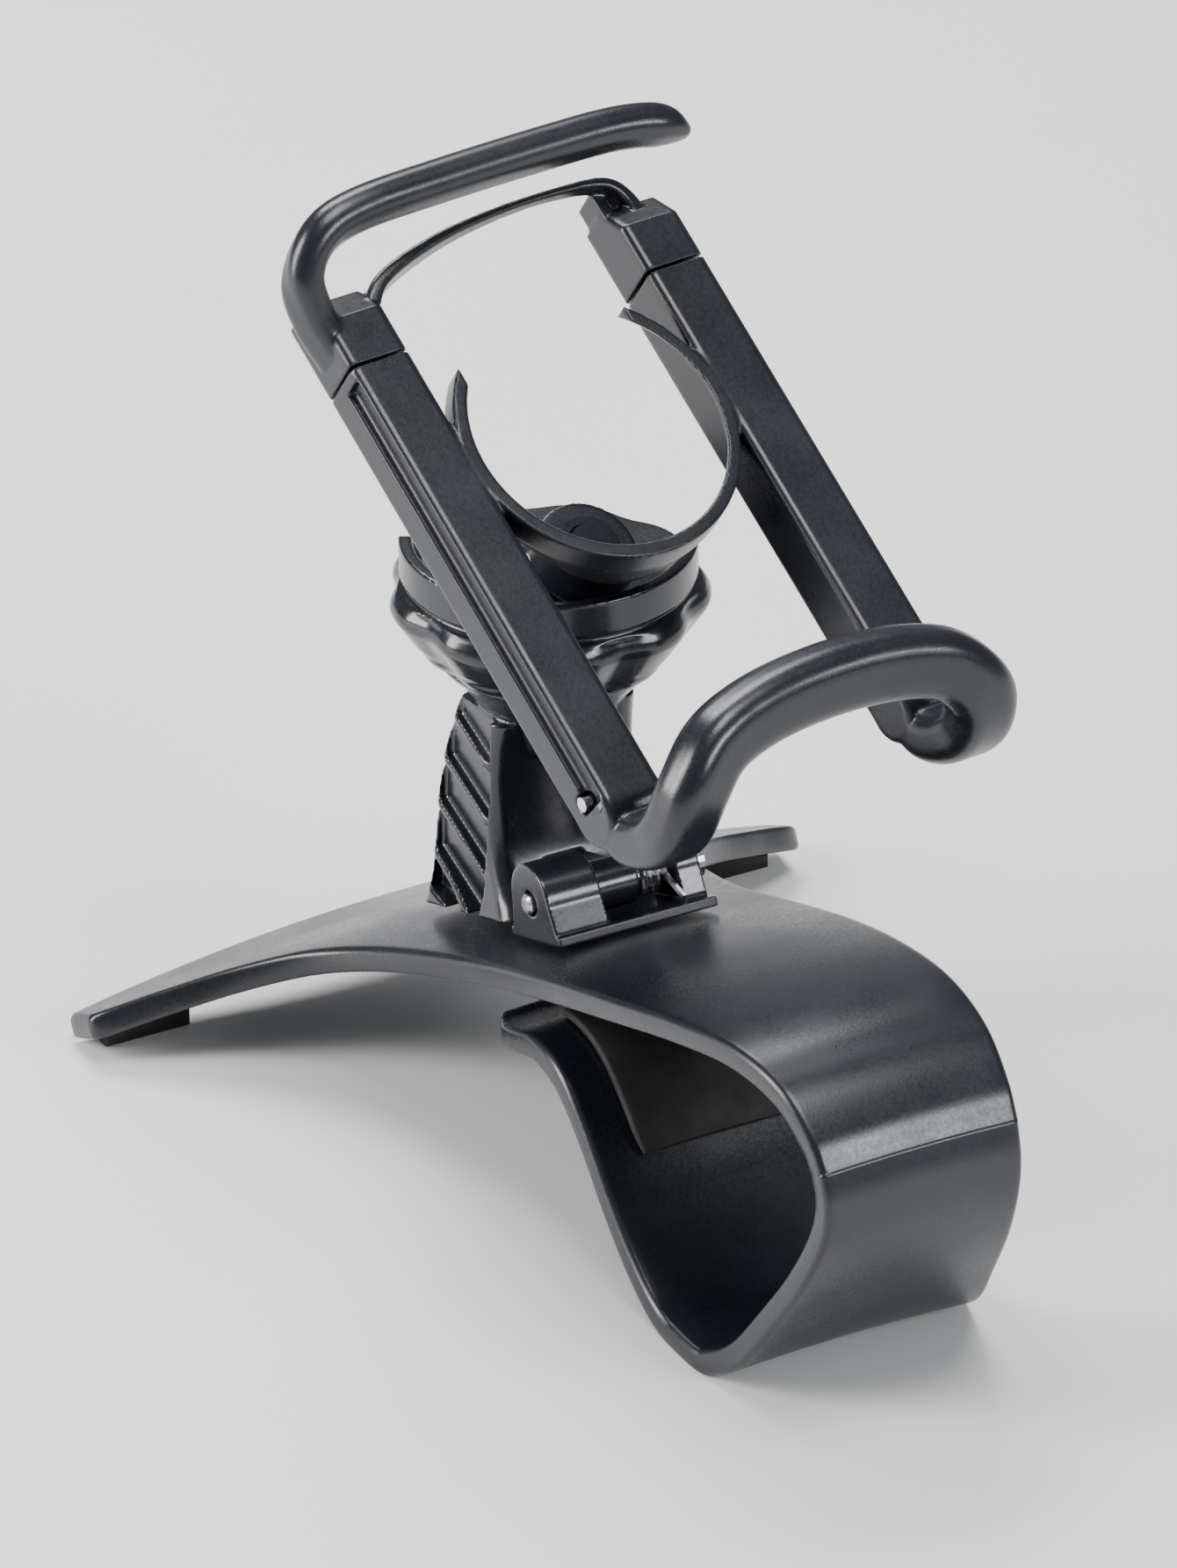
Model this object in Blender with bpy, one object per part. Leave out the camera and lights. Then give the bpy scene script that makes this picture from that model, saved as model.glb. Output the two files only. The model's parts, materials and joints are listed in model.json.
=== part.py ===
"""Clip-on hair dryer holder: a sprung C clip with a T plate, a hinged mast, a ball joint with a
lobed collar, and a clamp frame with a hooked lower lip and a sprung upper bracket.

Lengths below are in millimetres. X runs from the wings to the clip's bend, Y across, Z up.
"""
import math

import bpy
from mathutils import Matrix, Vector

MM = 0.001
CLEAR = 0.3                      # clearance between pieces that touch
SHIFT_X = 41.5                   # puts the middle of the whole length at x = 0

# Clip band: outer surface as (x, z, half width), from the wings' rear edge round to the jaw's tip
BAND_THICK = 3.2
WING_HALF = 49.5
WING_DROOP = 5.2                 # how far the wing tips sit below the middle of the plate
PLATE_LINE = [
    (-103.0, 9.0, 49.5), (-98.5, 11.2, 49.5), (-94.5, 13.1, 42.0), (-90.0, 15.3, 34.0),
    (-84.0, 18.0, 27.2), (-76.0, 21.1, 23.0), (-66.0, 24.7, 20.2), (-55.0, 28.6, 18.6),
    (-40.0, 34.2, 18.3), (-25.0, 39.3, 18.0), (-10.0, 43.5, 16.6), (1.0, 45.3, 15.2),
    (10.0, 44.3, 14.1), (16.0, 40.6, 13.4), (18.8, 37.0, 13.1),
]
JAW_LINE = [
    (18.8, 37.0, 13.1), (20.0, 32.5, 13.0), (19.2, 27.0, 13.3), (15.8, 19.5, 14.2),
    (11.0, 12.0, 15.3), (5.5, 4.4, 16.6), (0.0, 0.6, 17.6), (-4.0, 0.0, 18.0),
    (-9.0, 0.0, 18.0), (-14.0, 1.4, 18.0), (-19.5, 4.9, 18.0), (-25.0, 9.8, 18.0),
    (-31.0, 16.0, 18.0), (-36.5, 20.2, 18.0), (-42.0, 21.0, 17.8), (-47.5, 19.0, 17.2),
    (-53.0, 16.6, 16.0), (-56.5, 16.0, 14.5),
]

# Mast hinge on the plate
HINGE_X = -52.0
PIN_HEIGHT = 5.2
PIN_RADIUS = 1.25

# Ball joint
BALL = Vector((-71.4, 0.0, 62.8))
BALL_RADIUS = 8.6
STUD_RADIUS = 2.6
STUD_TOP = 16.0
SOCKET_RADIUS = 12.3
NUT_LOBES = 9
NUT_SILL = 4.5                   # height of the collar's low side above the ball's centre
NUT_FRONT = math.radians(-28.0)  # the collar's raised side faces this way

# Clamp frame: its own axes are u down the rails, v across, w out of the front face
FRAME_TILT = math.radians(34.1)
FRAME_YAW = math.radians(7.1)
RING_OFFSET = Vector((-8.0, 0.0, 30.0))     # ring centre from the ball centre, in u, v, w
RAIL_INNER = 17.2
RAIL_OUTER = 25.5
RAIL_DEPTH = 8.2
RAIL_TOP = -16.8
RAIL_END = 48.0
CHANNEL_END = 44.0
RAIL_WALL = 1.6
RING_BORE = 16.2
RING_OUTER = 17.9
SIGHT_SLANT = (-0.383, 0.623)    # the neck's relief leans this far in u and v for each mm of depth
LEG_TOP = -27.2
LEG_RIDGE = -23.4                # above this the leg's face slopes back
TONGUE_END = 25.0
PIN_U = 42.6
HUB_LOW = -18.5                  # hub on the stud: its foot, its cut top and where the flare starts, in w
HUB_TOP = -15.5
FLARE_LOW = -11.7
HUB_RADIUS = 6.4

BLACK = (0.018, 0.020, 0.026)
RUBBER_BLACK = (0.012, 0.012, 0.013)
STEEL = (0.62, 0.62, 0.64)


def clear_scene():
    for obj in list(bpy.data.objects):
        bpy.data.objects.remove(obj, do_unlink=True)


def material(name, colour, roughness, metallic=0.0):
    made = bpy.data.materials.new(name)
    made.use_nodes = True
    shader = made.node_tree.nodes["Principled BSDF"]
    shader.inputs["Base Color"].default_value = (*colour, 1.0)
    shader.inputs["Roughness"].default_value = roughness
    shader.inputs["Metallic"].default_value = metallic
    return made


def empty(name, parent, local):
    """A pivot: local is its place under parent, in millimetres."""
    pivot = bpy.data.objects.new(name, None)
    bpy.context.collection.objects.link(pivot)
    pivot.parent = parent
    scaled = local.copy()
    scaled.translation = local.translation * MM
    pivot.matrix_local = scaled
    return pivot


def solid(name, shape, finish, parent, smooth_angle=35.0):
    """One mesh object from (points, faces), with its points in its parent's axes."""
    points, faces = shape
    mesh = bpy.data.meshes.new(name)
    mesh.from_pydata([Vector(p) * MM for p in points], [], faces)
    mesh.validate()
    mesh.materials.append(finish)
    mesh.shade_smooth()
    mesh.set_sharp_from_angle(angle=math.radians(smooth_angle))
    obj = bpy.data.objects.new(name, mesh)
    bpy.context.collection.objects.link(obj)
    obj.parent = parent
    return obj


def combine(target, tool, operation):
    """Boolean modifier; the tool is only a guide and isn't a part."""
    tool.hide_render = True
    tool.display_type = "WIRE"
    modifier = target.modifiers.new(operation.title(), "BOOLEAN")
    modifier.operation = operation
    modifier.object = tool
    return modifier


def signed_volume(points, faces):
    total = 0.0
    for face in faces:
        first = Vector(points[face[0]])
        for a, b in zip(face[1:-1], face[2:]):
            total += first.dot(Vector(points[a]).cross(Vector(points[b])))
    return total / 6.0


def outward(points, faces):
    """Turns the faces so that they point out of the body."""
    if signed_volume(points, faces) < 0.0:
        faces = [tuple(reversed(face)) for face in faces]
    return points, faces


def loft(sections):
    """A closed body through rings with the same number of points."""
    count = len(sections[0])
    points = [tuple(p) for ring in sections for p in ring]
    faces = [tuple(range(count)), tuple(range(len(points) - 1, len(points) - 1 - count, -1))]
    faces[0] = tuple(reversed(faces[0]))
    faces[1] = tuple(reversed(faces[1]))
    for row in range(len(sections) - 1):
        for i in range(count):
            a = row * count + i
            b = row * count + (i + 1) % count
            faces.append((a, b, b + count, a + count))
    return outward(points, faces)


def box(low, high):
    (x0, y0, z0), (x1, y1, z1) = low, high
    lower = [(x0, y0, z0), (x1, y0, z0), (x1, y1, z0), (x0, y1, z0)]
    upper = [(x, y, z1) for x, y, _ in lower]
    return loft([lower, upper])


def prism(outline, y0, y1):
    """Extrudes an outline of (x, z) points across y."""
    return loft([[(x, y0, z) for x, z in outline], [(x, y1, z) for x, z in outline]])


def turned(profile, steps):
    """Turns a closed profile of (radius, height) points about the local Z axis."""
    rings = []
    for i in range(steps):
        angle = 2.0 * math.pi * i / steps
        rings.append([(r * math.cos(angle), r * math.sin(angle), h) for r, h in profile])
    points = [p for ring in rings for p in ring]
    count = len(profile)
    faces = []
    for i in range(steps):
        for k in range(count):
            a = i * count + k
            b = i * count + (k + 1) % count
            c = ((i + 1) % steps) * count + (k + 1) % count
            d = ((i + 1) % steps) * count + k
            faces.append((a, b, c, d))
    return outward(points, faces)


def spun(profile, steps):
    """Turns an open profile whose two ends lie on the axis."""
    points = [(0.0, 0.0, profile[0][1]), (0.0, 0.0, profile[-1][1])]
    inner = profile[1:-1]
    for i in range(steps):
        angle = 2.0 * math.pi * i / steps
        points += [(r * math.cos(angle), r * math.sin(angle), h) for r, h in inner]
    count = len(inner)
    faces = []
    for i in range(steps):
        here = 2 + i * count
        there = 2 + ((i + 1) % steps) * count
        faces.append((0, there, here))
        faces.append((1, here + count - 1, there + count - 1))
        for k in range(count - 1):
            faces.append((here + k, there + k, there + k + 1, here + k + 1))
    return outward(points, faces)


def moved(shape, matrix):
    points, faces = shape
    return [tuple(matrix @ Vector(p)) for p in points], faces


def along_y(shape, x, z):
    """Lays a body turned about Z along Y, centred at (x, z)."""
    return moved(shape, Matrix.Translation((x, 0.0, z)) @ Matrix.Rotation(math.radians(-90.0), 4, "X"))


def spline(points, per_span):
    """A smooth curve through points of any dimension (Catmull-Rom)."""
    rows = [Vector(p) for p in points]
    rows = [rows[0] * 2.0 - rows[1]] + rows + [rows[-1] * 2.0 - rows[-2]]
    curve = []
    for i in range(1, len(rows) - 2):
        before, here, after, beyond = rows[i - 1:i + 3]
        for step in range(per_span):
            t = step / per_span
            curve.append(0.5 * (2.0 * here + (after - before) * t
                                + (2.0 * before - 5.0 * here + 4.0 * after - beyond) * t * t
                                + (3.0 * here - before - 3.0 * after + beyond) * t ** 3))
    curve.append(rows[-2])
    return curve


def rounded_section(width, thick, radius, per_corner=3):
    """Points of a rounded rectangle, as (across, through)."""
    half_w, half_t = width / 2.0 - radius, thick / 2.0 - radius
    ring = []
    for corner, (sx, sy) in enumerate(((1, 1), (-1, 1), (-1, -1), (1, -1))):
        for k in range(per_corner):
            angle = math.radians(90.0 * corner + 90.0 * k / (per_corner - 1))
            ring.append((sx * half_w + radius * math.cos(angle), sy * half_t + radius * math.sin(angle)))
    return ring


def sweep(path, sizes, side, steady=False):
    """Carries a rounded section along a path; sizes holds (width, thickness, radius) at each end
    and in the middle. side is the direction of the width, at the start or, if steady, all along."""
    tangents = []
    for i in range(len(path)):
        ahead = path[min(i + 1, len(path) - 1)]
        behind = path[max(i - 1, 0)]
        tangents.append((ahead - behind).normalized())
    across = (side - tangents[0] * side.dot(tangents[0])).normalized()
    rings = []
    for i, (place, tangent) in enumerate(zip(path, tangents)):
        if i:
            turn = tangents[i - 1].rotation_difference(tangent)
            across = side.copy() if steady else turn @ across
            across = (across - tangent * across.dot(tangent)).normalized()
        through = tangent.cross(across)
        position = 2.0 * i / (len(path) - 1)
        first, second = (sizes[0], sizes[1]) if position <= 1.0 else (sizes[1], sizes[2])
        t = position if position <= 1.0 else position - 1.0
        t = t * t * (3.0 - 2.0 * t)
        width, thick, radius = (a + (b - a) * t for a, b in zip(first, second))
        rings.append([place + across * a + through * b for a, b in rounded_section(width, thick, radius)])
    return loft(rings)


def coil(radius, wire, turns, length, per_turn=10, sides=5, legs=()):
    """A helix about Z from z = 0; legs are extra path points after its last turn."""
    path = []
    for i in range(int(turns * per_turn) + 1):
        angle = 2.0 * math.pi * i / per_turn
        path.append(Vector((radius * math.cos(angle), radius * math.sin(angle), length * i / (turns * per_turn))))
    path += [Vector(p) for p in legs]
    rings = []
    across = Vector((0.0, 0.0, 1.0))
    for i, place in enumerate(path):
        tangent = (path[min(i + 1, len(path) - 1)] - path[max(i - 1, 0)]).normalized()
        across = (across - tangent * across.dot(tangent)).normalized()
        through = tangent.cross(across)
        rings.append([place + wire * (across * math.cos(2.0 * math.pi * k / sides)
                                      + through * math.sin(2.0 * math.pi * k / sides)) for k in range(sides)])
    return loft(rings)


# ---------------------------------------------------------------- clip band

def droop(y):
    return WING_DROOP * (y / WING_HALF) ** 2


def band_points(line, per_span):
    """Smooth stations of (x, z, half width), kept above the table and inside the wing span."""
    return [Vector((p.x, max(p.y, 0.0), min(p.z, WING_HALF))) for p in spline(line, per_span)]


def band_normals(stations):
    """Outward normals; where the plate meets the jaw both take the bend's own normal."""
    normals = []
    for i in range(len(stations)):
        ahead = stations[min(i + 1, len(stations) - 1)]
        behind = stations[max(i - 1, 0)]
        run = Vector((ahead.x - behind.x, ahead.y - behind.y)).normalized()
        normals.append(Vector((-run.y, run.x)))
    bend = bend_point()
    for i in (0, -1):
        if math.hypot(stations[i].x - bend.x, stations[i].y - bend.z) < 1.0:
            run = Vector((JAW_LINE[1][0] - PLATE_LINE[-2][0], JAW_LINE[1][1] - PLATE_LINE[-2][1])).normalized()
            normals[i] = Vector((-run.y, run.x))
    return normals


def band_body(stations, normals, top=0.0, bottom=BAND_THICK, across=8, half_scale=1.0):
    """A strip of the band between two depths under its outer surface."""
    sections = []
    for station, normal in zip(stations, normals):
        half = station.z * half_scale
        ring = []
        for depth, order in ((top, range(across + 1)), (bottom, range(across, -1, -1))):
            for k in order:
                y = half * (2.0 * k / across - 1.0)
                x = station.x - normal.x * depth
                z = station.y - normal.y * depth - droop(y)
                ring.append((x, y, max(z, 0.0)))
        sections.append(ring)
    return loft(sections)


def split_ends(stations, at_end):
    """Moves the last or first station half the clearance back from the bend line."""
    stations = list(stations)
    if at_end:
        stations[-1] = stations[-1] + (stations[-2] - stations[-1]).normalized() * CLEAR / 2.0
    else:
        stations[0] = stations[0] + (stations[1] - stations[0]).normalized() * CLEAR / 2.0
    return stations


def plate_height(stations, x):
    for a, b in zip(stations, stations[1:]):
        if a.x <= x <= b.x:
            return a.y + (b.y - a.y) * (x - a.x) / (b.x - a.x)
    return stations[-1].y


def make_clip(root, jaw_pivot, looks):
    plate = band_points(PLATE_LINE, 3)
    solid("clip_top_plate", band_body(split_ends(plate, True), band_normals(plate), across=10),
          looks["plastic"], root)
    jaw = band_points(JAW_LINE, 2)
    jaw_shape = band_body(split_ends(jaw, False), band_normals(jaw), across=4)
    to_pivot = Matrix.Translation(-bend_point())
    solid("clip_jaw", moved(jaw_shape, to_pivot), looks["plastic"], jaw_pivot)
    first, last = 23, 30
    pad_top = BAND_THICK + CLEAR
    pad = band_body(jaw[first:last], band_normals(jaw)[first:last], pad_top, pad_top + 1.2, 4, 0.7)
    solid("jaw_pad", moved(pad, to_pivot), looks["rubber"], jaw_pivot)
    for side, name in ((-1.0, "wing_pad_left"), (1.0, "wing_pad_right")):
        sections = []
        for x in (-102.6, -101.1, -99.6):
            under = plate_height(plate, x) - BAND_THICK * 1.13 - CLEAR
            inner, outer = side * 35.0, side * 46.5
            sections.append([(x, inner, 0.0), (x, outer, 0.0),
                             (x, outer, under - droop(outer)), (x, inner, under - droop(inner))])
        solid(name, loft(sections), looks["rubber"], root)
    return plate


def bend_point():
    x, z, _ = JAW_LINE[0]
    return Vector((x, 0.0, z))


# ---------------------------------------------------------------- mast hinge

def hinge_frame(plate):
    """Origin on the plate under the hinge, X up the slope, Z square to the plate."""
    rise = plate_height(plate, HINGE_X + 6.0) - plate_height(plate, HINGE_X - 6.0)
    slope = math.atan2(rise, 12.0)
    place = Matrix.Translation((HINGE_X, 0.0, plate_height(plate, HINGE_X)))
    return place @ Matrix.Rotation(-slope, 4, "Y")


def ear_outline(radius, foot):
    """A D shape: a round top about the pin on a straight foot."""
    arc = [(radius * math.cos(math.radians(a)), PIN_HEIGHT + radius * math.sin(math.radians(a)))
           for a in range(0, 181, 15)]
    return arc + [(-foot, 0.5), (foot, 0.5)]


def make_hinge(root, frame, looks):
    base = empty("hinge_frame", root, frame)
    housing = solid("hinge_housing", box((-6.5, -12.0, 0.45), (6.5, 9.4, 1.7)), looks["plastic"], base)
    for i, (y0, y1, radius, foot) in enumerate(((-12.0, -4.7, 4.9, 6.3), (6.2, 9.4, 3.3, 4.4))):
        ear = solid("ear_%d" % i, prism(ear_outline(radius, foot), y0, y1), looks["plastic"], base)
        combine(housing, ear, "UNION")
    hole = along_y(spun([(0, -20), (PIN_RADIUS + CLEAR, -20), (PIN_RADIUS + CLEAR, 20), (0, 20)], 20),
                   0.0, PIN_HEIGHT)
    combine(housing, solid("pin_hole", hole, looks["steel"], base), "DIFFERENCE")

    pin = spun([(0, -12.6), (PIN_RADIUS - 0.3, -12.6), (PIN_RADIUS, -12.3), (PIN_RADIUS, 9.8),
                (2.2, 9.8), (2.2, 10.7), (0, 10.7)], 20)
    solid("hinge_pin", along_y(pin, 0.0, PIN_HEIGHT), looks["steel"], base)
    legs = [(2.2, 1.0, 3.6), (5.6, 2.9, 3.6)]
    spring = coil(2.3, 0.42, 3.0, 3.0, per_turn=12, sides=6, legs=legs)
    solid("torsion_spring", along_y(moved(spring, Matrix.Translation((0, 0, 2.0))), 0.0, PIN_HEIGHT),
          looks["steel"], base)


# Mast sections from foot to top: rear x, rear z, front x, front z, half width
MAST_SECTIONS = [
    (-83.8, 19.4, -60.8, 27.8, 11.4),
    (-83.4, 24.0, -63.4, 30.2, 10.6),
    (-83.0, 31.0, -66.0, 34.6, 10.3),
    (-81.9, 38.0, -67.3, 40.4, 10.2),
    (-79.8, 45.0, -67.2, 46.4, 10.1),
    (-77.4, 51.0, -66.2, 51.6, 9.8),
]
RIB_PITCH = 7.55
RIB_THICK = 1.4
RIB_SLOPE = -0.33                # ribs run down towards the front
RIB_START = (-75.0, 17.25)       # x and z on the line of the lowest rib's underside
RIB_REAR = (-81.8, -81.6, -80.7, -78.8, -76.6)
RIB_FRONT = -68.6
RIB_FOOT = 22.0                  # pockets stop above the plate


def mast_section(rear_x, rear_z, front_x, front_z, half):
    """A rounded rectangle between a rear and a front point."""
    rear, front = Vector((rear_x, 0.0, rear_z)), Vector((front_x, 0.0, front_z))
    run = (front - rear).normalized()
    middle = (rear + front) / 2.0
    return [middle + run * a + Vector((0.0, b, 0.0))
            for a, b in rounded_section((front - rear).length, 2.0 * half, 2.4)]


def make_stem(pivot, pivot_place, frame, looks):
    home = Matrix.Translation(-pivot_place)
    mast = solid("stem", moved(loft([mast_section(*row) for row in MAST_SECTIONS]), home),
                 looks["plastic"], pivot)
    cup_profile = [(0, -16.5), (6.5, -16.5), (8.2, -12.0), (10.6, -8.6), (13.6, -5.2), (13.6, -4.7),
                   (SOCKET_RADIUS, -4.7), (SOCKET_RADIUS, 0.6), (9.5, 0.6), (9.3, -6.8), (9.3, -9.8),
                   (0, -9.8)]
    cup = spun(cup_profile, 40)
    combine(mast, solid("cup", moved(cup, home @ Matrix.Translation(BALL)), looks["plastic"], pivot), "UNION")

    barrel = along_y(spun([(0, -4.4), (3.1, -4.4), (3.1, 1.4), (0, 1.4)], 24), 0.0, PIN_HEIGHT)
    arm = box((-16.5, -4.1, 3.3), (-0.6, 1.1, 7.5))
    for name, shape in (("barrel", barrel), ("arm", arm)):
        combine(mast, solid(name, moved(shape, home @ frame), looks["plastic"], pivot), "UNION")
    bore = along_y(spun([(0, -8), (PIN_RADIUS + CLEAR, -8), (PIN_RADIUS + CLEAR, 8), (0, 8)], 20),
                   0.0, PIN_HEIGHT)
    combine(mast, solid("stem_bore", moved(bore, home @ frame), looks["steel"], pivot), "DIFFERENCE")

    for side, label in ((-1.0, "left"), (1.0, "right")):
        for i, rear in enumerate(RIB_REAR):
            low = RIB_START[1] + RIB_PITCH * i + RIB_THICK / 2.0
            high = low + RIB_PITCH - RIB_THICK
            outline = [(x, max(z + RIB_SLOPE * (x - RIB_START[0]), RIB_FOOT))
                       for x, z in ((rear, high), (RIB_FRONT, high), (RIB_FRONT, low), (rear, low))]
            pocket = solid("pocket_%s_%d" % (label, i), moved(prism(outline, side * 8.9, side * 13.0), home),
                           looks["plastic"], pivot)
            combine(mast, pocket, "DIFFERENCE")


# ---------------------------------------------------------------- ball joint

def raised(angle):
    """How much of the collar's raised side is left at this angle, from 1 in front to 0 behind."""
    away = abs((angle - NUT_FRONT + math.pi) % (2.0 * math.pi) - math.pi)
    t = min(max((math.radians(112.0) - away) / math.radians(24.0), 0.0), 1.0)
    return t * t * (3.0 - 2.0 * t)


def nut_shape():
    """The collar: a lobed bowl with one side raised, a plain bore and a coned lip over the ball."""
    bore = SOCKET_RADIUS + CLEAR
    outer = [(13.9, -4.4), (15.2, -4.0), (16.6, -1.5), (18.6, 1.0), (19.6, 2.6), (18.7, 4.2),
             (18.2, 7.6), (18.0, 11.0)]
    inner = [(16.4, 11.0), (15.2, 7.6), (12.8, 5.2), (8.1, 4.5), (8.9, 2.4), (9.9, 1.3),
             (bore, 0.9 + CLEAR), (bore, -4.4)]
    steps = NUT_LOBES * 8
    rings = []
    for i in range(steps):
        angle = 2.0 * math.pi * i / steps
        lobe = 1.0 - 0.06 * (0.5 + 0.5 * math.cos(NUT_LOBES * angle))
        keep = raised(angle)
        ring = []
        for scale, profile in ((lobe, outer), (1.0, inner)):
            for r, h in profile:
                height = h if h <= NUT_SILL else NUT_SILL + (h - NUT_SILL) * keep
                ring.append((r * scale * math.cos(angle), r * scale * math.sin(angle), height))
        rings.append(ring)
    points = [p for ring in rings for p in ring]
    count = len(rings[0])
    faces = []
    for i in range(steps):
        for k in range(count):
            a, b = i * count + k, i * count + (k + 1) % count
            c, d = ((i + 1) % steps) * count + (k + 1) % count, ((i + 1) % steps) * count + k
            faces.append((a, b, c, d))
    return outward(points, faces)


def ball_profile():
    """Ball and stud in one line, from the ball's foot to the stud's top."""
    meet = math.acos(STUD_RADIUS / BALL_RADIUS)
    steps = 12
    arc = []
    for i in range(steps + 1):
        angle = -math.pi / 2.0 + (meet + math.pi / 2.0) * i / steps
        arc.append((BALL_RADIUS * math.cos(angle), BALL_RADIUS * math.sin(angle)))
    arc[0] = (0.0, -BALL_RADIUS)
    return arc + [(STUD_RADIUS, STUD_TOP), (0.0, STUD_TOP)]


def make_ball_joint(pivots, looks):
    solid("lock_nut", nut_shape(), looks["plastic"], pivots["nut"])
    gap_radius = BALL_RADIUS + CLEAR
    dish = [(r, -math.sqrt(gap_radius ** 2 - r ** 2)) for r in (8.0, 6.0, 4.5, 3.2)]
    seat = turned([(8.9, dish[0][1]), (8.9, -9.4), (3.2, -9.4)] + dish[::-1], 32)
    solid("ball_seat", seat, looks["rubber"], pivots["seat"])
    solid("ball_stud", spun(ball_profile(), 28), looks["plastic"], pivots["ball"])
    low = RING_OFFSET.z + HUB_TOP + CLEAR
    inside = STUD_RADIUS + CLEAR
    clip = turned([(inside, low), (3.9, low), (3.9, low + 0.7), (inside, low + 0.7)], 20)
    solid("stud_clip", clip, looks["steel"], pivots["ball"])


# ---------------------------------------------------------------- clamp frame

def mirrored_spans(low, high):
    """The same span on both sides of the middle, as (side name, low, high)."""
    return (("left", -high, -low), ("right", low, high))


def rail_section(v0, v1):
    """Rail outline in v and w with rounded outer corners, listed for a loft along u."""
    middle = (v0 + v1) / 2.0
    return [(middle + a, -RAIL_DEPTH / 2.0 + b)
            for a, b in rounded_section(v1 - v0, RAIL_DEPTH, 0.9)]


def rail_body(v0, v1):
    outline = rail_section(v0, v1)
    return loft([[(u, v, w) for v, w in outline] for u in (RAIL_TOP, RAIL_END)])


def hook_path():
    half = (RAIL_INNER + RAIL_OUTER) / 2.0
    left = [(44.0, -half, -4.1), (48.6, -half, -3.4), (51.6, -half, 0.6), (52.2, -half, 5.2),
            (50.6, -20.3, 9.8), (47.6, -16.6, 12.4), (45.8, -11.0, 13.2), (44.9, -4.0, 13.4)]
    right = [(u, -v, w) for u, v, w in reversed(left)]
    return spline(left + right, 3)


def neck_rings():
    """Circles from the hub on the stud up to the ring, in u, v, w."""
    hub_u, ring_low = -RING_OFFSET.x, -3.4
    stations = [(HUB_LOW, HUB_RADIUS, hub_u), (FLARE_LOW, HUB_RADIUS, hub_u)]
    steps = 7
    for i in range(1, steps + 1):
        t = i / steps
        stations.append((FLARE_LOW + (ring_low - FLARE_LOW) * t,
                         HUB_RADIUS + (RING_OUTER - HUB_RADIUS) * t ** 0.8, hub_u * (1.0 - t)))
    stations.append((0.0, RING_OUTER, 0.0))
    count = 40
    return [[(centre + radius * math.cos(2.0 * math.pi * k / count),
              radius * math.sin(2.0 * math.pi * k / count), w) for k in range(count)]
            for w, radius, centre in stations]


def relief_body():
    """The slanted bore through the ring, stopping above the hub."""
    count = 48
    rings = []
    for w in (3.0, HUB_TOP):
        rings.append([(-SIGHT_SLANT[0] * w + RING_BORE * math.cos(2.0 * math.pi * k / count),
                       -SIGHT_SLANT[1] * w + RING_BORE * math.sin(2.0 * math.pi * k / count), w)
                      for k in range(count)])
    return loft(rings)


def make_clamp_frame(pivot, looks):
    frame = solid("clamp_frame", loft(neck_rings()), looks["plastic"], pivot)
    relief = solid("relief", relief_body(), looks["plastic"], pivot)
    combine(frame, relief, "DIFFERENCE")
    stud_hole = spun([(0, -30), (STUD_RADIUS + CLEAR, -30), (STUD_RADIUS + CLEAR, -10), (0, -10)], 24)
    hole_place = Matrix.Translation((-RING_OFFSET.x, 0.0, 0.0))
    combine(frame, solid("stud_hole", moved(stud_hole, hole_place), looks["plastic"], pivot), "DIFFERENCE")
    access = spun([(0, HUB_TOP), (4.3, HUB_TOP), (4.3, -9.0), (0, -9.0)], 24)
    combine(frame, solid("clip_access", moved(access, hole_place), looks["plastic"], pivot), "DIFFERENCE")
    ring_gap = box((-20.0, -12.5, -9.0), (-7.5, 11.5, 3.0))
    combine(frame, solid("ring_gap", ring_gap, looks["plastic"], pivot), "DIFFERENCE")

    foot, lip = (8.1, 6.4, 2.2), (8.6, 7.2, 3.0)
    hook = sweep(hook_path(), (foot, lip, foot), Vector((0.0, 1.0, 0.0)))
    combine(frame, solid("hook", hook, looks["plastic"], pivot), "UNION")
    for side, v0, v1 in mirrored_spans(RAIL_INNER, RAIL_OUTER):
        rail = solid("rail_" + side, rail_body(v0, v1), looks["plastic"], pivot)
        combine(frame, rail, "UNION")
        channel = box((RAIL_TOP - 2.0, v0 + RAIL_WALL, -RAIL_DEPTH - 1.0),
                      (CHANNEL_END, v1 - RAIL_WALL, -1.8))
        combine(frame, solid("channel_" + side, channel, looks["plastic"], pivot), "DIFFERENCE")
        outer = -RAIL_OUTER if side == "left" else RAIL_OUTER
        reach = 1.0 if side == "left" else -1.0
        near, far = sorted((outer - reach, outer + reach))
        groove = box((RAIL_TOP + 1.5, near, -3.7), (PIN_U + 2.6, far, -0.6))
        combine(frame, solid("groove_" + side, groove, looks["plastic"], pivot), "DIFFERENCE")
        pin_hole = along_y(spun([(0, -4), (1.3, -4), (1.3, 4), (0, 4)], 16), PIN_U, -4.3)
        at_wall = Matrix.Translation((0.0, outer, 0.0))
        combine(frame, solid("anchor_hole_" + side, moved(pin_hole, at_wall), looks["steel"], pivot),
                "DIFFERENCE")
        make_rail_inside(side, v0, v1, outer, reach, pivot, looks)


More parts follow.
